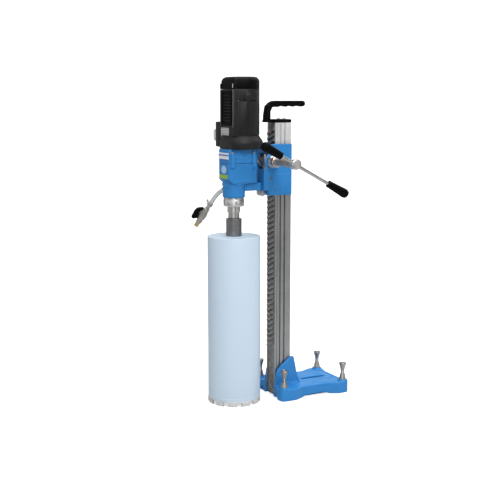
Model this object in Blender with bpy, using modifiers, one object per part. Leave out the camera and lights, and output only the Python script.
"""Core drill rig: a wet diamond drill on a rack-and-pinion stand with a levelling base.

Millimetres in the constants and helpers, metres in the model. +Z is up, -Y is the drill's side, +X is
the crank's side. The origin is on the floor, under the middle of the column.
"""

import math

import bmesh
import bpy
from mathutils import Matrix, Vector

MM = 0.001
GAP = 0.3  # running gap between pieces that touch

# Column and rack
COLUMN_HALF_X = 23.0
COLUMN_HALF_Y = 25.0
GROOVE_DEPTH = 3.5
COLUMN_FOOT = 10.0
COLUMN_TOP = 754.3
BOLT_CHANNEL_X = 12.0
RACK_HALF = 18.5
RACK_BACK = -16.0
RACK_FOOT = 2.0
RACK_TEETH_FOOT = 133.0
TOOTH_PITCH = 14.3
HELIX = math.radians(20.0)
PRESSURE = math.radians(20.0)
RACK_ADDENDUM = 1.8
RACK_DEDENDUM = 3.2
HANDLE_HALF = 8.5

# Feed pinion and crank
PINION_TEETH = 7
PINION_RADIUS = PINION_TEETH * TOOTH_PITCH / (2 * math.pi)
PINION_ADDENDUM = 2.4
PINION_HALF = 17.0
CRANK_Y = -42.5
CRANK_Z = 652.0
PITCH_PLANE = CRANK_Y + PINION_RADIUS
SHAFT_RADIUS = 9.75
SHAFT_END = 150.0
HUB_RADIUS = 13.8
HUB_END = 171.0
BAR_X = 161.0
BAR_RADIUS = 4.5
BAR_SLOPE = math.radians(28.3)
BAR_FRONT = 108.5  # ends of the bar, along it from the hub
BAR_REAR = -180.0
GRIP_FRONT = 46.0
GRIP_REAR = -113.0

# Base casting
FOOT_X = 70.0
FOOT_FRONT = -20.0
FOOT_REAR = 168.0
FOOT_RADIUS = 14.8
FOOT_TOP = 36.0
DECK_TOP = 31.0
WAIST = 70.0
SLOT_HALF = 7.5
SLOT_START = 73.0
SLOT_END = 150.0
SCREW_RADIUS = 5.4

# Carriage
CHEEK_OUT = 34.0
CHEEK_IN = 26.0
CARRIAGE_TOP = 698.0
CARRIAGE_FOOT = 561.0
CARRIAGE_FRONT = -50.0
CARRIAGE_REAR = 20.0
STEP_FRONT = -65.0
STEP_TOP = 633.0
STEP_FOOT = 575.0
STUD_X = 25.0
STUD_Y = -58.2

# Drill
MOTOR_Y = -118.0
SPINDLE_Y = -138.0
LAYSHAFT_Y = -98.0
MOTOR_RADIUS = 50.5
PANEL_Y = -157.0
PANEL_HALF = 38.0
WALL = 3.2
MOTOR_TOP = 874.8
CAP_CHAMFER = 11.0
CAP_FOOT = 842.0
MOTOR_FOOT = 722.0
FLANGE_FOOT = 686.3
BOX_HALF = 34.0
BOX_FRONT = -168.0
BOX_REAR = -74.0
BOX_SPLIT = 649.0
BOX_FOOT = 596.0
NECK_RADIUS = 30.0
NECK_FOOT = 558.6
COLLAR_FOOT = 534.5
RING_FOOT = 518.4
SPINDLE_FOOT = 502.0
HUB_FOOT = 454.8
BIT_RADIUS = 71.0
BIT_TOP = 454.5
CROWN_TOP = 14.0

# Gear train: teeth and module
GEAR_MODULE = 1.25
MOTOR_TEETH = 8
LAYSHAFT_TEETH = 24
SPINDLE_TEETH = 40

# Water supply: the direction it leaves the spindle in, and its heights
WATER_SIDE = Vector((-0.94, -0.342, 0.0)).normalized()
HOSE_ROUTE = ((37.5, 576.6), (52.0, 568.6), (66.5, 557.6), (80.5, 543.0), (93.5, 527.9))
HOSE_RADIUS = 6.0
VALVE_START = (93.8, 527.6)
VALVE_FALL = math.radians(48.5)
VALVE_LENGTH = 61.0
STEM_AT = 36.0

MATERIALS = {
    "blue_paint": ((0.05, 0.25, 0.62), 0.45, 0.0),
    "black_plastic": ((0.02, 0.02, 0.022), 0.5, 0.0),
    "grey_plastic": ((0.55, 0.56, 0.57), 0.5, 0.0),
    "clear_plastic": ((0.75, 0.77, 0.78), 0.25, 0.0),
    "rubber": ((0.03, 0.03, 0.03), 0.75, 0.0),
    "aluminium": ((0.62, 0.63, 0.64), 0.4, 1.0),
    "dark_steel": ((0.22, 0.22, 0.22), 0.45, 1.0),
    "steel": ((0.55, 0.55, 0.54), 0.3, 1.0),
    "chrome": ((0.75, 0.75, 0.75), 0.12, 1.0),
    "brass": ((0.65, 0.5, 0.25), 0.3, 1.0),
    "copper": ((0.6, 0.3, 0.15), 0.35, 1.0),
    "carbon": ((0.05, 0.05, 0.05), 0.8, 0.0),
    "bit_paint": ((0.62, 0.76, 0.9), 0.4, 0.0),
    "segment": ((0.75, 0.76, 0.78), 0.5, 0.6),
}


# ---------------------------------------------------------------- scene and helpers


def clear_scene():
    for thing in list(bpy.data.objects):
        bpy.data.objects.remove(thing, do_unlink=True)


def new_collection(name):
    group = bpy.data.collections.new(name)
    bpy.context.scene.collection.children.link(group)
    return group


def material(name):
    found = bpy.data.materials.get(name)
    if found:
        return found
    colour, roughness, metallic = MATERIALS[name]
    made = bpy.data.materials.new(name)
    made.use_nodes = True
    shader = made.node_tree.nodes["Principled BSDF"]
    shader.inputs["Base Color"].default_value = (*colour, 1.0)
    shader.inputs["Roughness"].default_value = roughness
    shader.inputs["Metallic"].default_value = metallic
    return made


def place(name, mesh, look, smooth=True):
    """A mesh as an object of the part, in its material."""
    thing = bpy.data.objects.new(name, mesh)
    PARTS.objects.link(thing)
    if look:
        mesh.materials.clear()
        mesh.materials.append(material(look))
    if smooth:
        mesh.shade_smooth()
        mesh.set_sharp_from_angle(angle=math.radians(35))
    return thing


def mesh_from(builder, name):
    mesh = bpy.data.meshes.new(name)
    builder.to_mesh(mesh)
    builder.free()
    return mesh


def box(name, low, high, look=None, bevel=0.0, segments=1):
    builder = bmesh.new()
    bmesh.ops.create_cube(builder, size=1.0)
    size = [(b - a) * MM for a, b in zip(low, high)]
    middle = [(a + b) / 2 * MM for a, b in zip(low, high)]
    bmesh.ops.scale(builder, vec=size, verts=builder.verts)
    bmesh.ops.translate(builder, vec=middle, verts=builder.verts)
    thing = place(name, mesh_from(builder, name), look, smooth=False)
    if bevel:
        round_edges(thing, bevel, segments)
    return thing


def rod(name, start, end, radius, look=None, sides=24, end_radius=None):
    """A round bar or a cone between two points."""
    start, end = Vector(start), Vector(end)
    builder = bmesh.new()
    bmesh.ops.create_cone(
        builder,
        cap_ends=True,
        segments=sides,
        radius1=radius * MM,
        radius2=(radius if end_radius is None else end_radius) * MM,
        depth=(end - start).length * MM,
    )
    turn = Vector((0, 0, 1)).rotation_difference(end - start).to_matrix().to_4x4()
    stand = Matrix.Translation((start + end) / 2 * MM) @ turn
    bmesh.ops.transform(builder, matrix=stand, verts=builder.verts)
    return place(name, mesh_from(builder, name), look)


def turned(name, profile, look=None, at=(0, 0, 0), along=(0, 0, 1), steps=32, ring=False):
    """A profile of (radius, height), top to bottom, turned about the axis `along` through `at`.
    A ring's profile is closed on itself. Any other one starts and ends on the axis."""
    points = [(r * MM, 0.0, h * MM) for r, h in profile]
    edges = [(i, i + 1) for i in range(len(points) - 1)]
    if ring:
        edges.append((len(points) - 1, 0))
    mesh = bpy.data.meshes.new(name)
    mesh.from_pydata(points, edges, [])
    thing = place(name, mesh, look, smooth=False)
    turn = thing.modifiers.new("Turn", "SCREW")
    turn.steps = steps
    turn.render_steps = steps
    turn.use_merge_vertices = True
    turn.merge_threshold = 0.00001
    turn.use_smooth_shade = True
    thing.rotation_mode = "QUATERNION"
    thing.rotation_quaternion = Vector((0, 0, 1)).rotation_difference(Vector(along))
    thing.location = Vector(at) * MM
    return thing


def ring(name, outer, inner, foot, top, look, at=(0, 0, 0), along=(0, 0, 1), steps=24):
    """A plain bush or bearing."""
    profile = [(inner, top), (outer, top), (outer, foot), (inner, foot)]
    return turned(name, profile, look, at, along, steps, ring=True)


def sheet(name, outlines, low, high, look=None, across="Z", bevel=0.0, segments=1):
    """Flat outlines, the first one outside and the rest holes, drawn out from low to high along an axis.
    The outline's points are (x, y) for Z, (y, z) for X and (x, z) for Y."""
    curve = bpy.data.curves.new(name, "CURVE")
    curve.dimensions = "2D"
    curve.fill_mode = "BOTH"
    curve.extrude = (high - low) / 2 * MM
    for outline in outlines:
        line = curve.splines.new("POLY")
        line.points.add(len(outline) - 1)
        for point, (u, v) in zip(line.points, outline):
            point.co = (u * MM, v * MM, 0.0, 1.0)
        line.use_cyclic_u = True
    guide = bpy.data.objects.new(name + "_outline", curve)
    bpy.context.scene.collection.objects.link(guide)
    graph = bpy.context.evaluated_depsgraph_get()
    mesh = bpy.data.meshes.new_from_object(guide.evaluated_get(graph))
    bpy.data.objects.remove(guide, do_unlink=True)
    builder = bmesh.new()
    builder.from_mesh(mesh)
    bmesh.ops.remove_doubles(builder, verts=builder.verts, dist=0.000005)
    middle = (low + high) / 2 * MM
    stand = {
        "Z": Matrix.Translation((0, 0, middle)),
        "X": Matrix(((0, 0, 1, middle), (1, 0, 0, 0), (0, 1, 0, 0), (0, 0, 0, 1))),
        "Y": Matrix(((1, 0, 0, 0), (0, 0, -1, middle), (0, 1, 0, 0), (0, 0, 0, 1))),
    }[across]
    bmesh.ops.transform(builder, matrix=stand, verts=builder.verts)
    bmesh.ops.recalc_face_normals(builder, faces=builder.faces)
    builder.to_mesh(mesh)
    builder.free()
    thing = place(name, mesh, look)
    if bevel:
        round_edges(thing, bevel, segments)
    return thing


def rounded(corners, steps=4):
    """An outline through corners (u, v, radius), each with its arc."""
    outline = []
    for i, (u, v, radius) in enumerate(corners):
        here = Vector((u, v))
        if not radius:
            outline.append((u, v))
            continue
        before = (Vector(corners[i - 1][:2]) - here).normalized()
        after = (Vector(corners[(i + 1) % len(corners)][:2]) - here).normalized()
        half = before.angle(after) / 2
        centre = here + (before + after).normalized() * (radius / math.sin(half))
        start = here + before * (radius / math.tan(half)) - centre
        finish = here + after * (radius / math.tan(half)) - centre
        sweep = start.angle_signed(finish)
        for k in range(steps + 1):
            point = centre + Matrix.Rotation(-sweep * k / steps, 2) @ start
            outline.append((point.x, point.y))
    return outline


def round_edges(thing, width, segments=1, angle=50):
    bevel = thing.modifiers.new("Edges", "BEVEL")
    bevel.width = width * MM
    bevel.segments = segments
    bevel.limit_method = "ANGLE"
    bevel.angle_limit = math.radians(angle)
    return thing


def combine(thing, others, operation):
    for other in others:
        PARTS.objects.unlink(other)
        CUTTERS.objects.link(other)
        other.hide_render = True
        other.display_type = "WIRE"
        step = thing.modifiers.new(other.name, "BOOLEAN")
        step.object = other
        step.operation = operation
        step.solver = "EXACT"
    return thing


def cut(thing, *others):
    return combine(thing, others, "DIFFERENCE")


def join(thing, *others):
    return combine(thing, others, "UNION")


def gear_outline(teeth, radius, addendum, dedendum, backlash, phase=0.0):
    """Gear teeth with straight flanks inside the involute, one tooth centred at the phase angle."""
    base = radius * math.cos(PRESSURE)
    half_pitch = (math.pi * radius / teeth - backlash) / (2 * radius)

    def half_width(at):
        at = max(at, base)
        angle = math.acos(base / at)
        pitch_roll = math.tan(PRESSURE) - PRESSURE
        return half_pitch + pitch_roll - (math.tan(angle) - angle)

    root, tip = radius - dedendum, radius + addendum
    outline = []
    for tooth in range(teeth):
        middle = phase + 2 * math.pi * tooth / teeth
        for r, side in ((root, -1), (tip, -1), (tip, 1), (root, 1)):
            angle = middle + side * half_width(r)
            outline.append((r * math.cos(angle), r * math.sin(angle)))
    return outline


def spur_gear(name, teeth, at, foot, top, look, phase=0.0):
    outline = gear_outline(
        teeth, teeth * GEAR_MODULE / 2, 0.75 * GEAR_MODULE, 1.05 * GEAR_MODULE, 0.3 * GEAR_MODULE, phase
    )
    return sheet(name, [[(u + at[0], v + at[1]) for u, v in outline]], foot, top, look)


# ---------------------------------------------------------------- stand


def base_plan():
    """Half of the casting's plan at +X, from its front notch to the middle of its rear edge."""
    front, rear = FOOT_FRONT - FOOT_RADIUS, FOOT_REAR + FOOT_RADIUS
    wide = FOOT_X + FOOT_RADIUS
    return [
        (COLUMN_HALF_X + 1.3, front + 6, 0),
        (46, front + 5, 8),
        (54, front, 6),
        (wide, front, FOOT_RADIUS - 0.5),
        (wide, 12, 12),
        (WAIST, 40, 30),
        (WAIST, 118, 30),
        (wide, 146, 12),
        (wide, rear, FOOT_RADIUS - 0.5),
        (52, rear, 8),
        (44, rear - 5, 8),
    ]


def base_casting():
    right = base_plan()
    left = [(-x, y, r) for x, y, r in reversed(right)]
    seat_front = RACK_BACK + GAP
    plan = rounded(right + left + [(-24.3, seat_front, 0), (24.3, seat_front, 0)], 3)
    base = sheet("base_casting", [plan], 0, DECK_TOP, "blue_paint")
    for side in (-1, 1):
        for y in (FOOT_FRONT, FOOT_REAR):
            profile = [(0, FOOT_TOP), (12.5, FOOT_TOP), (14.2, FOOT_TOP - 2), (14.2, 8), (0, 8)]
            join(base, turned(f"foot_boss_{side}_{y:.0f}", profile, at=(side * FOOT_X, y, 0), steps=20))
    cheek = [
        (-25.5, 4, 0), (-26.5, 44, 6), (-21, 71, 10), (-9, 85, 14), (24, 109, 6),
        (31.5, 109, 3), (41, 64, 10), (55, 24, 0), (55, 4, 0),
    ]
    for side in (-1, 1):
        low, high = sorted((side * (COLUMN_HALF_X + GAP), side * 32.0))
        join(base, sheet(f"cheek_{side}", [rounded(cheek, 2)], low, high, across="X"))
    join(base, box("rear_web", (-30, COLUMN_HALF_Y + GAP, 4), (30, 38, 62)))
    cut(base, box("column_seat", (-23.3, -60, COLUMN_FOOT - GAP), (23.3, COLUMN_HALF_Y + GAP, 130)))
    cut_slots(base)
    return base


def cut_slots(base):
    """The deck's anchor slot, the arches under its edges, the hollows under the deck, and the bolt holes."""
    for side in (-1, 1):
        low, high = sorted((side * 30.0, side * 56.0))
        cut(base, box(f"front_arch_{side}", (low, -60, -5), (high, -26, 11)))
        low, high = sorted((side * 60.0, side * 100.0))
        arch = rounded([(22, -6, 0), (50, 5.5, 60), (110, 5.5, 60), (140, -6, 0)], 3)
        cut(base, sheet(f"side_arch_{side}", [arch], low, high, across="X"))
        for start, end in ((46, 94), (104, 152)):
            low, high = sorted((side * 15.0, side * 58.0))
            cut(base, box(f"hollow_{side}_{start}", (low, start, -5), (high, end, 23)))
        for y in (FOOT_FRONT, FOOT_REAR):
            foot, top = (side * FOOT_X, y, -5), (side * FOOT_X, y, 60)
            cut(base, rod(f"screw_hole_{side}_{y:.0f}", foot, top, SCREW_RADIUS + GAP, sides=12))
        bolt = (side * BOLT_CHANNEL_X, 0)
        cut(base, rod(f"bolt_hole_{side}", (*bolt, -5), (*bolt, 20), 5.2, sides=12))
        cut(base, rod(f"bolt_sink_{side}", (*bolt, -5), (*bolt, 5.5), 8.8, sides=12))
    slot = rounded([(-SLOT_HALF, SLOT_START, 7.4), (SLOT_HALF, SLOT_START, 7.4),
                    (SLOT_HALF, SLOT_END, 7.4), (-SLOT_HALF, SLOT_END, 7.4)])
    cut(base, sheet("anchor_slot", [slot], -5, 50))


def column():
    """The extruded mast: two guide grooves and a fine line along each side, a seat for the rack in front."""
    face, deep = COLUMN_HALF_X, COLUMN_HALF_X - GROOVE_DEPTH
    right = [
        (RACK_HALF + GAP, -COLUMN_HALF_Y), (face - 1, -COLUMN_HALF_Y), (face, 1 - COLUMN_HALF_Y),
        (face, -20), (face - 1.2, -19.4), (face - 1.2, -18.6), (face, -18),
        (face, -13.5), (deep, -12), (deep, -8.5), (face, -7), (face, -0.5), (deep, 1), (deep, 4.5), (face, 6),
        (face, COLUMN_HALF_Y - 2), (face - 2, COLUMN_HALF_Y),
    ]
    seat = RACK_BACK + GAP
    outline = right + [(-x, y) for x, y in reversed(right)]
    outline += [(-(RACK_HALF + GAP), seat), (RACK_HALF + GAP, seat)]
    hollow = rounded([(-19, 9, 3), (-19, 21.5, 3), (19, 21.5, 3), (19, 9, 3)], 2)
    channels = [
        [(x + 5.3 * math.cos(a), 5.3 * math.sin(a)) for a in (2 * math.pi * k / 12 for k in range(12))]
        for x in (-BOLT_CHANNEL_X, BOLT_CHANNEL_X)
    ]
    return sheet("column", [outline, hollow, *channels], COLUMN_FOOT, COLUMN_TOP, "aluminium")


def feed_rack():
    """The rack: teeth drawn straight across, then sheared to climb towards +X at the helix angle."""
    tip, root = PITCH_PLANE - RACK_ADDENDUM, PITCH_PLANE + RACK_DEDENDUM
    half_tip = TOOTH_PITCH / 4 - 0.2 - RACK_ADDENDUM * math.tan(PRESSURE)
    half_root = TOOTH_PITCH / 4 - 0.2 + RACK_DEDENDUM * math.tan(PRESSURE)
    first = math.ceil((RACK_TEETH_FOOT - CRANK_Z) / TOOTH_PITCH)
    last = math.floor((COLUMN_TOP - 10 - CRANK_Z) / TOOTH_PITCH)
    outline = [(RACK_BACK, RACK_FOOT), (root, RACK_FOOT)]
    for tooth in range(first, last + 1):
        middle = CRANK_Z + (tooth + 0.5) * TOOTH_PITCH
        if middle + half_root + 8 > COLUMN_TOP:
            break
        outline += [(root, middle - half_root), (tip, middle - half_tip)]
        outline += [(tip, middle + half_tip), (root, middle + half_root)]
    outline += [(root, COLUMN_TOP), (RACK_BACK, COLUMN_TOP)]
    rack = sheet("feed_rack", [outline], -RACK_HALF, RACK_HALF, "dark_steel", across="X")
    for vertex in rack.data.vertices:
        if (RACK_FOOT + 1) * MM < vertex.co.z < (COLUMN_TOP - 1) * MM:
            vertex.co.z += vertex.co.x * math.tan(HELIX)
    return rack


def column_bolt(side):
    name = "column_bolt_right" if side > 0 else "column_bolt_left"
    profile = [(0, 38), (4.9, 38), (4.9, 5.2), (8.4, 5.2), (8.4, 0.8), (0, 0.8)]
    return turned(name, profile, "steel", at=(side * BOLT_CHANNEL_X, 0, 0), steps=12)


def carry_handle():
    """The moulded carrying handle: a plate on the column's end, a post and a bar open to the rear."""
    lean = 0.01  # the bar's underside rises a little towards its free end
    underside = []
    for bump in (64, 40, 16, -8):
        underside += [(bump, 797 + bump * lean, 7), (bump - 12, 800 + bump * lean, 7)]
    outline = rounded(
        [(-50, 755, 0), (-46.5, 766, 8), (-41.5, 798, 12), (-26, 811, 18), (74, 811, 6), (75, 799, 6)]
        + underside[:-1]
        + [(-26, 797, 6), (-32.5, 783, 10), (-32.5, 764, 6), (-20, 758, 0), (-20, 755, 0)],
        3,
    )
    handle = sheet("carry_handle", [outline], -HANDLE_HALF, HANDLE_HALF, "rubber", across="X")
    join(handle, box("handle_plate", (-24, -26, COLUMN_TOP + GAP), (24, 24.5, 763.5), bevel=1.5))
    return handle


def levelling_screw(index, x, y):
    profile = [
        (0, 80), (4.6, 80), (4.6, 84), (10, 83), (10, 76), (6.6, 70), (SCREW_RADIUS, 63), (SCREW_RADIUS, 4),
        (0, 4),
    ]
    return turned(f"levelling_screw_{index}", profile, "steel", at=(x, y, 0), steps=14)


def lock_nut(index, x, y):
    profile = [(5.8, 51), (6.8, 51), (9.5, 37.5), (9.5, 36.3), (5.8, 36.3)]
    return turned(f"lock_nut_{index}", profile, "steel", at=(x, y, 0), steps=14, ring=True)


# ---------------------------------------------------------------- carriage and crank


def carriage_housing():
    side = [
        (CARRIAGE_REAR, CARRIAGE_FOOT, 2), (CARRIAGE_REAR, CARRIAGE_TOP, 2),
        (CARRIAGE_FRONT, CARRIAGE_TOP, 3), (CARRIAGE_FRONT, STEP_TOP, 0),
        (STEP_FRONT, STEP_TOP, 2), (STEP_FRONT, STEP_FOOT, 2),
        (CARRIAGE_FRONT, STEP_FOOT, 2), (CARRIAGE_FRONT, CARRIAGE_FOOT, 2),
    ]
    outline = [rounded(side, 2)]
    body = sheet("carriage_housing", outline, -CHEEK_OUT, CHEEK_OUT, "blue_paint", across="X", bevel=1.5)
    cut(body, box("column_way", (-CHEEK_IN, -31.5, 500), (CHEEK_IN, 60, 750)))
    reach, half = PINION_RADIUS + PINION_ADDENDUM + 2, PINION_HALF + 2
    cut(body, box("pinion_well", (-half, -90, CRANK_Z - reach), (half, -20, CRANK_Z + reach)))
    cut(body, rod("shaft_way", (-60, CRANK_Y, CRANK_Z), (60, CRANK_Y, CRANK_Z), SHAFT_RADIUS + GAP, sides=24))
    cut(body, rod("stud_way", (STUD_X, STUD_Y, 604), (STUD_X, STUD_Y, 650), 5.1, sides=12))
    cut(body, rod("side_screw_way", (28, -44, 606), (50, -44, 606), 3.2, sides=12))
    return body


def glide_pad(side):
    """A bronze pad between a cheek and the column, with a ridge in the column's guide groove."""
    name = "glide_pad_right" if side > 0 else "glide_pad_left"
    foot, top = CARRIAGE_FOOT + 9, CARRIAGE_TOP - 9
    low, high = sorted((side * (COLUMN_HALF_X + GAP), side * (CHEEK_IN - GAP)))
    pad = box(name, (low, -16, foot), (high, 9, top), "brass")
    low, high = sorted((side * (COLUMN_HALF_X - 2.6), side * (CHEEK_IN - 1)))
    return join(pad, box(name + "_ridge", (low, -11.2, foot + 3), (high, -9.3, top - 3)))


def crank_boss():
    foot = CHEEK_OUT + GAP
    profile = [(10.2, 64.5), (13, 65), (14.5, 63.5), (14.5, 46), (15.6, 45), (15.6, foot), (10.2, foot)]
    at = (0, CRANK_Y, CRANK_Z)
    return turned("crank_boss", profile, "steel", at, along=(1, 0, 0), steps=24, ring=True)


def crank_shaft():
    profile = [
        (0, SHAFT_END + 4), (7.6, SHAFT_END + 4), (7.6, SHAFT_END - 1), (SHAFT_RADIUS, SHAFT_END - 1.6),
        (SHAFT_RADIUS, -47), (SHAFT_RADIUS - 1.5, -48.5), (0, -48.5),
    ]
    return turned("crank_shaft", profile, "steel", at=(0, CRANK_Y, CRANK_Z), along=(1, 0, 0), steps=24)


def feed_pinion():
    """The helical pinion, its teeth twisted along the shaft to lie along the rack's."""
    outline = gear_outline(PINION_TEETH, PINION_RADIUS, PINION_ADDENDUM, 2.9, 0.8)
    centred = [(CRANK_Y + u, CRANK_Z + v) for u, v in outline]
    bore = [
        (CRANK_Y + (SHAFT_RADIUS + GAP) * math.cos(a), CRANK_Z + (SHAFT_RADIUS + GAP) * math.sin(a))
        for a in (2 * math.pi * k / 24 for k in range(24))
    ]
    pinion = sheet("feed_pinion", [centred, bore], -PINION_HALF, PINION_HALF, "dark_steel", across="X")
    builder = bmesh.new()
    builder.from_mesh(pinion.data)
    slices = 4
    for k in range(1, slices):
        bmesh.ops.bisect_plane(
            builder,
            geom=builder.verts[:] + builder.edges[:] + builder.faces[:],
            plane_co=((2 * k / slices - 1) * PINION_HALF * MM, 0, 0),
            plane_no=(1, 0, 0),
        )
    for vertex in builder.verts:
        turn = vertex.co.x * math.tan(HELIX) / (PINION_RADIUS * MM)
        y, z = vertex.co.y - CRANK_Y * MM, vertex.co.z - CRANK_Z * MM
        vertex.co.y = CRANK_Y * MM + y * math.cos(turn) - z * math.sin(turn)
        vertex.co.z = CRANK_Z * MM + y * math.sin(turn) + z * math.cos(turn)
    bmesh.ops.triangulate(builder, faces=builder.faces)
    builder.to_mesh(pinion.data)
    builder.free()
    return pinion


def along_bar(distance):
    """A point on the crank bar's axis, at this distance from the hub towards the bar's upper end."""
    return (BAR_X, CRANK_Y - distance * math.cos(BAR_SLOPE), CRANK_Z + distance * math.sin(BAR_SLOPE))


def crank_hub():
    start = SHAFT_END + GAP - 1
    profile = [(0, HUB_END), (HUB_RADIUS - 2, HUB_END), (HUB_RADIUS, HUB_END - 2), (HUB_RADIUS, start + 1),
               (HUB_RADIUS - 1, start), (0, start)]
    hub = turned("crank_hub", profile, "steel", at=(0, CRANK_Y, CRANK_Z), along=(1, 0, 0), steps=24)
    socket = (SHAFT_END + 4.3, CRANK_Y, CRANK_Z)
    cut(hub, rod("hub_socket", (SHAFT_END - 9, CRANK_Y, CRANK_Z), socket, 7.9, sides=24))
    cut(hub, rod("bar_hole", along_bar(-30), along_bar(30), BAR_RADIUS + GAP, sides=16))
    return hub


def crank_bar():
    return rod("crank_bar", along_bar(BAR_FRONT - 8), along_bar(BAR_REAR + 8), BAR_RADIUS, "chrome", sides=16)


def crank_grip(name, inner, outer):
    """A moulded grip: slim at the bar, fat and round at its free end."""
    length = abs(outer - inner)
    direction = Vector(along_bar(outer)) - Vector(along_bar(inner))
    bore = BAR_RADIUS + GAP
    profile = [
        (0, length), (5.5, length - 1.2), (9.5, length - 4.5), (11.2, length - 12), (10.4, length * 0.55),
        (8.6, 9), (8, 0), (bore, 0), (bore, length - 7.5), (0, length - 7.5),
    ]
    return turned(name, profile, "rubber", at=along_bar(inner), along=direction, steps=16)


def clamp_stud():
    profile = [(0, 671), (5.6, 671), (5.6, 643.8), (4.8, 643.8), (4.8, 606), (0, 606)]
    return turned("clamp_stud", profile, "steel", at=(STUD_X, STUD_Y, 0), steps=16)


def clamp_nut():
    return ring("clamp_nut", 7.2, 5.1, STEP_TOP + GAP, 643.5, "steel", at=(STUD_X, STUD_Y, 0), steps=12)


def mounting_arm():
    low, high = (-22, -118, STEP_FOOT), (22, STEP_FRONT - GAP, BOX_FOOT - GAP)
    arm = box("mounting_arm", low, high, "blue_paint", bevel=1.5)
    cut(arm, rod("neck_way", (0, SPINDLE_Y, 500), (0, SPINDLE_Y, 620), NECK_RADIUS + GAP, sides=36))
    return arm


def mounting_block():
    low, high = (-16, -62, 560.5), (16, CARRIAGE_FRONT - GAP, STEP_FOOT - GAP)
    return box("mounting_block", low, high, "aluminium", bevel=1.2)


# ---------------------------------------------------------------- gearbox and spindle


def gearbox_plan(inset=0.0):
    front, rear, half = BOX_FRONT + inset, BOX_REAR - inset, BOX_HALF - inset
    tight, wide = 8 - inset, 26 - inset
    return rounded([(-half, front, tight), (half, front, tight), (half, rear, wide), (-half, rear, wide)])


def screw_spots():
    return [(34.5, -157.5), (-34.5, -157.5), (34.5, -96), (-34.5, -96)]


def gearbox_upper():
    foot, top = BOX_SPLIT + GAP, FLANGE_FOOT - GAP
    body = sheet("gearbox_upper", [gearbox_plan()], foot, top, "blue_paint", bevel=1.2)
    for index, (x, y) in enumerate(screw_spots()):
        join(body, rod(f"upper_boss_{index}", (x, y, foot), (x, y, 676), 6.5, sides=16))
    cut(body, sheet("upper_hollow", [gearbox_plan(3.5)], 640, 682))
    cut(body, rod("pinion_way", (0, MOTOR_Y, 660), (0, MOTOR_Y, 700), 8, sides=16))
    for index, (x, y) in enumerate(screw_spots()):
        cut(body, rod(f"upper_screw_way_{index}", (x, y, 640), (x, y, 690), 2.6, sides=10))
    return body


def gearbox_lower():
    body = sheet("gearbox_lower", [gearbox_plan()], BOX_FOOT, BOX_SPLIT, "blue_paint", bevel=1.2)
    for index, (x, y) in enumerate(screw_spots()):
        join(body, rod(f"lower_boss_{index}", (x, y, 638), (x, y, BOX_SPLIT), 6.5, sides=16))
    out, foot = NECK_RADIUS, NECK_FOOT
    neck = [(0, 601), (out, 601), (out, foot + 1), (out - 1, foot), (0, foot)]
    join(body, turned("neck", neck, at=(0, SPINDLE_Y, 0), steps=36))
    wedge = [(-175, 590), (-175, 614), (-149, 590)]
    keep = rod("neck_keep", (0, SPINDLE_Y, 540), (0, SPINDLE_Y, 640), NECK_RADIUS + 0.01, sides=36)
    cut(body, cut(sheet("front_chamfer", [wedge], -50, 50, across="X"), keep))
    cut(body, sheet("lower_hollow", [gearbox_plan(3.5)], 604, 660))
    cut(body, rod("neck_bore", (0, SPINDLE_Y, 541), (0, SPINDLE_Y, 637), 20, sides=30))
    cut(body, water_way("water_port", 15, 36, 3.6, 578))
    for index, (x, y) in enumerate(screw_spots()):
        cut(body, rod(f"lower_screw_way_{index}", (x, y, 641), (x, y, 660), 2.6, sides=10))
    return body


def water_collar():
    bore, foot = 15.6, COLLAR_FOOT
    profile = [(bore, 558.3), (27, 558.3), (27, 554), (28, 553), (28, foot + 2), (26, foot), (bore, foot)]
    return turned("water_collar", profile, "chrome", at=(0, SPINDLE_Y, 0), steps=32, ring=True)


def spindle():
    """The output spindle with its spanner ring: threaded into the bit's hub below, a gear seat above."""
    profile = [
        (0, 642), (12, 642), (12, 600), (15, 600), (15, COLLAR_FOOT - GAP), (17.5, COLLAR_FOOT - GAP),
        (17.5, RING_FOOT), (15, RING_FOOT), (15, SPINDLE_FOOT), (12, SPINDLE_FOOT), (12, 477), (0, 477),
    ]
    return turned("spindle", profile, "steel", at=(0, SPINDLE_Y, 0), steps=24)


def bit_hub():
    bore, top = 12.4, SPINDLE_FOOT - GAP
    profile = [(bore, top), (20, top), (21, top - 1), (21, HUB_FOOT), (bore, HUB_FOOT)]
    return turned("bit_hub", profile, "dark_steel", at=(0, SPINDLE_Y, 0), steps=24, ring=True)


def core_barrel():
    """The core bit's steel tube, closed on top but for the water way."""
    inside = BIT_RADIUS - 3
    profile = [
        (6, BIT_TOP), (BIT_RADIUS - 2, BIT_TOP), (BIT_RADIUS, BIT_TOP - 2), (BIT_RADIUS, CROWN_TOP + GAP),
        (inside, CROWN_TOP + GAP), (inside, BIT_TOP - 6), (6, BIT_TOP - 6),
    ]
    return turned("core_barrel", profile, "bit_paint", at=(0, SPINDLE_Y, 0), steps=36, ring=True)


def segment_crown():
    """The cutting crown: twelve diamond segments on one ring at the tube's mouth."""
    outer, inner = BIT_RADIUS + 0.4, BIT_RADIUS - 3.4
    crown = ring("segment_crown", outer, inner, 0, CROWN_TOP, "segment", at=(0, SPINDLE_Y, 0), steps=36)
    segments, width = 12, 13.5
    for k in range(segments // 2):
        angle = math.pi * 2 * (k + 0.5) / segments
        across = box(f"crown_notch_{k}", (-90, -width / 2, -5), (90, width / 2, 10.5))
        across.rotation_euler = (0, 0, angle)
        across.location = (0, SPINDLE_Y * MM, 0)
        cut(crown, across)
    return crown


def bearing(name, at_y, foot, top, inner, outer):
    return ring(name, outer, inner, foot, top, "steel", at=(0, at_y, 0), steps=18)


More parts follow.
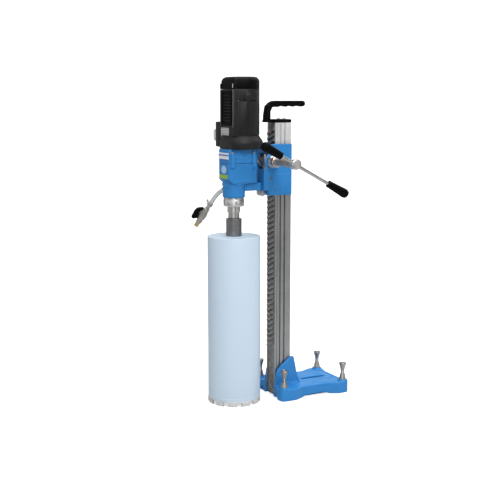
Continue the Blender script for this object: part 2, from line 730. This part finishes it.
def spindle_gear():
    gear = spur_gear("spindle_gear", SPINDLE_TEETH, (0, SPINDLE_Y), 620, 634, "dark_steel", math.pi / 2)
    return cut(gear, rod("spindle_gear_bore", (0, SPINDLE_Y, 600), (0, SPINDLE_Y, 660), 12.3, sides=16))


def layshaft_gear():
    """The layshaft: its small wheel drives the spindle's gear, its large one takes the motor's pinion."""
    phase = math.pi / LAYSHAFT_TEETH - math.pi / 2
    shaft = rod("layshaft_gear", (0, LAYSHAFT_Y, 607), (0, LAYSHAFT_Y, 679), 6, "dark_steel", sides=20)
    for name, foot, top in (("low", 618, 636), ("high", 662, 674)):
        wheel = f"layshaft_{name}_wheel"
        join(shaft, spur_gear(wheel, LAYSHAFT_TEETH, (0, LAYSHAFT_Y), foot, top, None, phase))
    return shaft


# ---------------------------------------------------------------- motor


def motor_plan(inset=0.0):
    """The motor's section: round at the back, with a flat panel across its front."""
    radius = MOTOR_RADIUS - inset
    start, finish = math.radians(-28), math.radians(208)
    steps = 18
    outline = []
    for k in range(steps + 1):
        angle = start + (finish - start) * k / steps
        outline.append((radius * math.cos(angle), MOTOR_Y + radius * math.sin(angle)))
    half, front = PANEL_HALF - inset, PANEL_Y + inset
    return outline + [(-half, front + 3), (-half + 3, front), (half - 3, front), (half, front + 3)]


def motor_housing():
    section = [motor_plan(), motor_plan(WALL)]
    body = sheet("motor_housing", section, MOTOR_FOOT + GAP, CAP_FOOT, "black_plastic")
    for side, angle in ((1, -20), (1, 17), (-1, -20), (-1, 17)):
        turn = math.radians(angle if side > 0 else 180 - angle)
        slot = box(f"vent_{side}_{angle}", (40, -11, 810.5), (60, 11, 814))
        slot.rotation_euler = (0, 0, turn)
        slot.location = (0, MOTOR_Y * MM, 0)
        cut(body, slot)
    return body


def motor_cap():
    """The end cap: a chamfered lid with the upper bearing's seat inside."""
    cap = sheet("motor_cap", [motor_plan()], CAP_FOOT + GAP, MOTOR_TOP, "black_plastic")
    bevel = round_edges(cap, CAP_CHAMFER).modifiers["Edges"]
    bevel.limit_method = "WEIGHT"
    weights = cap.data.attributes.new("bevel_weight_edge", "FLOAT", "EDGE")
    for edge in cap.data.edges:
        heights = [cap.data.vertices[v].co.z for v in edge.vertices]
        weights.data[edge.index].value = 1.0 if min(heights) > (MOTOR_TOP - 0.1) * MM else 0.0
    cut(cap, sheet("cap_hollow", [motor_plan(WALL + 6)], 830, MOTOR_TOP - 4))
    join(cap, ring("bearing_seat", 15, 11.3, 846, MOTOR_TOP - 2, None, at=(0, MOTOR_Y, 0), steps=24))
    return cap


def flange_profile(grow=0.0):
    return [
        (0, MOTOR_FOOT), (49.5 + grow, MOTOR_FOOT), (53.5 + grow, 715), (58.5 + grow, 708), (60 + grow, 703),
        (60 + grow, 694), (57 + grow, 690), (57 + grow, FLANGE_FOOT), (0, FLANGE_FOOT),
    ]


def motor_flange():
    """The motor's flared foot, flat in front, dished inside for the fan."""
    flange = turned("motor_flange", flange_profile(), "black_plastic", at=(0, MOTOR_Y, 0), steps=36)
    cut(flange, box("flange_front", (-80, -200, 680), (80, -162, 730)))
    cut(flange, rod("fan_well", (0, MOTOR_Y, 696), (0, MOTOR_Y, 740), 37, sides=24))
    cut(flange, rod("bearing_well", (0, MOTOR_Y, 680), (0, MOTOR_Y, 700), 12, sides=18))
    return flange


def vent_grille():
    """The air-inlet grille on the motor's front panel."""
    low, high = (-27, PANEL_Y - 3.2, 748), (27, PANEL_Y - GAP, 838)
    grille = box("vent_grille", low, high, "black_plastic", bevel=1.0)
    for k in range(9):
        foot = 755 + 9 * k
        cut(grille, box(f"grille_slot_{k}", (-22, -170, foot), (22, -150, foot + 4)))
    return grille


def stator():
    return ring("stator", 34.5, 23.5, 740, 802, "dark_steel", at=(0, MOTOR_Y, 0))


def armature():
    """The armature and its commutator on their shaft, with the pinion cut on the lower end."""
    profile = [
        (0, 853), (4.6, 853), (5, 852), (5, 830), (13, 830), (13, 812), (5, 812), (5, 804), (9, 803),
        (22.5, 797), (22.5, 745), (9, 739), (5, 738), (5, 680), (0, 680),
    ]
    shaft = turned("armature", profile, "copper", at=(0, MOTOR_Y, 0), steps=16)
    return join(shaft, spur_gear("motor_pinion", MOTOR_TEETH, (0, MOTOR_Y), 661, 680.6, None, math.pi / 2))


def cooling_fan():
    fan = ring("cooling_fan", 33, 5.3, 712, 714.5, "grey_plastic", at=(0, MOTOR_Y, 0))
    join(fan, ring("fan_hub", 9, 5.3, 702, 713, None, at=(0, MOTOR_Y, 0), steps=12))
    blades = 8
    for k in range(blades):
        blade = box(f"fan_blade_{k}", (14, -1, 702), (31.5, 1, 713))
        blade.rotation_euler = (0, 0, 2 * math.pi * (k + 0.5) / blades)
        blade.location = (0, MOTOR_Y * MM, 0)
        join(fan, blade)
    return fan


def brush(side):
    name = "brush_right" if side > 0 else "brush_left"
    low, high = sorted((side * 13.4, side * 46.2))
    return box(name, (low, MOTOR_Y - 4, 816), (high, MOTOR_Y + 4, 826), "carbon", bevel=0.6)


def switch_box():
    body = box("switch_box", (-74, -157, 690), (-30, -110, 757), "black_plastic", bevel=3.0, segments=2)
    cut(body, sheet("motor_clearance", [motor_plan(-GAP)], MOTOR_FOOT, 780))
    cut(body, turned("flange_clearance", flange_profile(GAP), at=(0, MOTOR_Y, 0), steps=36))
    keep_out = box("motor_inside", (-38 - GAP, -170, 690), (0, -100, 770))
    return cut(body, keep_out)


def switch_rocker():
    """The on-off rocker, on its pivot in the switch box's wall."""
    outline = rounded([(-75, 711, 1), (-75, 731, 1), (-82.5, 732, 1.5), (-80, 721, 8), (-82.5, 710, 1.5)], 2)
    return sheet("switch_rocker", [outline], -149, -133, "rubber", across="Y")


def switch_cover():
    """The clear splash cover over the rocker."""
    low, high = (-90, -156, 705.5), (-74 - GAP, -126, 736.5)
    cover = box("switch_cover", low, high, "clear_plastic", bevel=3.5, segments=2)
    return cut(cover, box("cover_hollow", (-88, -154, 707.7), (-70, -128, 734.3)))


def cable_gland():
    profile = [(4.2, 16), (6.5, 16), (7.5, 14), (8.2, 9), (8.2, 7), (9.5, 6.6), (9.5, GAP), (4.2, GAP)]
    at = (-65, -110, 740)
    return turned("cable_gland", profile, "black_plastic", at, along=(0, 1, 0), steps=16, ring=True)


# ---------------------------------------------------------------- water supply


def water_point(out, height):
    """A point in the water line's upright plane: this far out from the spindle's axis."""
    spot = Vector((0, SPINDLE_Y, 0)) + WATER_SIDE * out
    return (spot.x, spot.y, height)


def water_way(name, start, end, radius, height, look=None):
    return rod(name, water_point(start, height), water_point(end, height), radius, look, sides=16)


def valve_point(distance, lift=0.0):
    out = VALVE_START[0] + distance * math.cos(VALVE_FALL) + lift * math.sin(VALVE_FALL)
    height = VALVE_START[1] - distance * math.sin(VALVE_FALL) + lift * math.cos(VALVE_FALL)
    return water_point(out, height)


def water_elbow():
    """The brass inlet in the neck, bent down towards the hose."""
    elbow = water_way("water_elbow", NECK_RADIUS + GAP, 34.2, 7.5, 578, "brass")
    out, height = HOSE_ROUTE[0]
    rise = math.atan2(HOSE_ROUTE[0][1] - HOSE_ROUTE[1][1], HOSE_ROUTE[1][0] - HOSE_ROUTE[0][0])
    near = water_point(out - GAP * math.cos(rise), height + GAP * math.sin(rise))
    far = water_point(out - 3.6 * math.cos(rise), height + 3.6 * math.sin(rise))
    join(elbow, rod("elbow_mouth", far, near, 5.6, sides=16))
    return join(elbow, water_way("elbow_thread", 24, 32, 3.2, 578))


def hose_points():
    """Points along a smooth curve through the hose's route."""
    route = [Vector(water_point(out, height)) for out, height in HOSE_ROUTE]
    padded = [2 * route[0] - route[1], *route, 2 * route[-1] - route[-2]]
    points = []
    for a, b, c, d in zip(padded, padded[1:], padded[2:], padded[3:]):
        for t in (0, 0.5):
            curved = (2 * a - 5 * b + 4 * c - d) * t**2 + (3 * b - a - 3 * c + d) * t**3
            points.append(0.5 * (2 * b + (c - a) * t + curved))
    return points + [route[-1]]


def water_hose():
    curve = bpy.data.curves.new("water_hose", "CURVE")
    curve.dimensions = "3D"
    curve.bevel_depth = HOSE_RADIUS * MM
    curve.bevel_resolution = 3
    curve.use_fill_caps = True
    points = hose_points()
    line = curve.splines.new("POLY")
    line.points.add(len(points) - 1)
    for point, spot in zip(line.points, points):
        point.co = (*(spot * MM), 1.0)
    curve.materials.append(material("clear_plastic"))
    hose = bpy.data.objects.new("water_hose", curve)
    PARTS.objects.link(hose)
    return hose


def hose_clamp():
    """The hose's clamp band and its winged screw."""
    inner = HOSE_RADIUS + 0.5
    band = ring("hose_clamp", 8.4, inner, -3.5, 3.5, "steel", valve_point(-7), valve_axis(), steps=16)
    wing = box("clamp_wing", (-5, -1.2, -3.5), (5, 1.2, 3.5))
    wing.location = Vector(valve_point(-7, 12.0)) * MM
    wing.rotation_mode = "QUATERNION"
    wing.rotation_quaternion = valve_turn()
    return join(band, wing)


def valve_axis():
    return Vector(valve_point(1)) - Vector(valve_point(0))


def valve_turn():
    """Turns a shape drawn with +Z along the valve and +X up from it into place."""
    forward = valve_axis().normalized()
    up = (Vector(valve_point(0, 1)) - Vector(valve_point(0))).normalized()
    return Matrix((up, forward.cross(up), forward)).transposed().to_quaternion()


def water_valve():
    """The ball valve: hose tail, hexagon, ball chamber with its stem boss, and outlet nut."""
    profile = [
        (0, VALVE_LENGTH), (8.4, VALVE_LENGTH), (8.4, 53), (7, 50), (9.6, 46), (10.2, STEM_AT), (9.6, 26),
        (7, 21), (8, 20), (8, 11), (5.6, 10), (5, 0), (0, 0),
    ]
    valve = turned("water_valve", profile, "steel", at=valve_point(0), along=valve_axis(), steps=16)
    join(valve, rod("stem_boss", valve_point(STEM_AT), valve_point(STEM_AT, 13), 6, sides=16))
    return valve


def valve_nozzle():
    end = VALVE_LENGTH
    nozzle = rod("valve_nozzle", valve_point(end + GAP), valve_point(end + 6), 7.2, "brass", sides=6)
    join(nozzle, rod("nozzle_tip", valve_point(end + 4), valve_point(end + 18), 5.2, sides=16))
    return join(nozzle, rod("nozzle_lip", valve_point(end + 13), valve_point(end + 17), 6.4, sides=16))


def valve_lever():
    """The valve's lever, lying along the valve when it is open."""
    outline = rounded([(13.3, 27, 3), (13.3, 54, 6), (16, 65, 3), (24, 64, 4), (26, 42, 6), (22, 26, 4)], 2)
    lever = sheet("valve_lever", [outline], -9, 9, "rubber", across="Y", bevel=2.0, segments=1)
    lever.rotation_mode = "QUATERNION"
    lever.rotation_quaternion = valve_turn()
    lever.location = Vector(valve_point(0)) * MM
    return lever


# ---------------------------------------------------------------- assembly


def build():
    base_casting()
    column()
    feed_rack()
    carry_handle()
    for side in (-1, 1):
        column_bolt(side)
    feet = [(x, y) for y in (FOOT_FRONT, FOOT_REAR) for x in (-FOOT_X, FOOT_X)]
    for index, (x, y) in enumerate(feet, 1):
        levelling_screw(index, x, y)
        lock_nut(index, x, y)
    carriage_housing()
    for side in (-1, 1):
        glide_pad(side)
    crank_boss()
    clamp_stud()
    clamp_nut()
    mounting_arm()
    mounting_block()
    crank_shaft()
    feed_pinion()
    crank_hub()
    crank_bar()
    crank_grip("crank_grip_front", GRIP_FRONT, BAR_FRONT)
    crank_grip("crank_grip_rear", GRIP_REAR, BAR_REAR)
    gearbox_upper()
    gearbox_lower()
    water_collar()
    bearing("spindle_bearing_lower", SPINDLE_Y, 562, 573, 15.4, 19.7)
    bearing("spindle_bearing_upper", SPINDLE_Y, 588, 599, 15.4, 19.7)
    spindle()
    spindle_gear()
    bit_hub()
    core_barrel()
    segment_crown()
    layshaft_gear()
    motor_housing()
    motor_cap()
    motor_flange()
    vent_grille()
    stator()
    armature()
    cooling_fan()
    brush(-1)
    brush(1)
    bearing("armature_bearing_lower", MOTOR_Y, 687, 695, 5.3, 11.7)
    bearing("armature_bearing_upper", MOTOR_Y, 844, 851, 5.3, 11)
    switch_box()
    switch_rocker()
    switch_cover()
    cable_gland()
    water_elbow()
    water_hose()
    hose_clamp()
    water_valve()
    valve_nozzle()
    valve_lever()


clear_scene()
PARTS = new_collection("Core drill rig")
CUTTERS = new_collection("Cutters")
build()
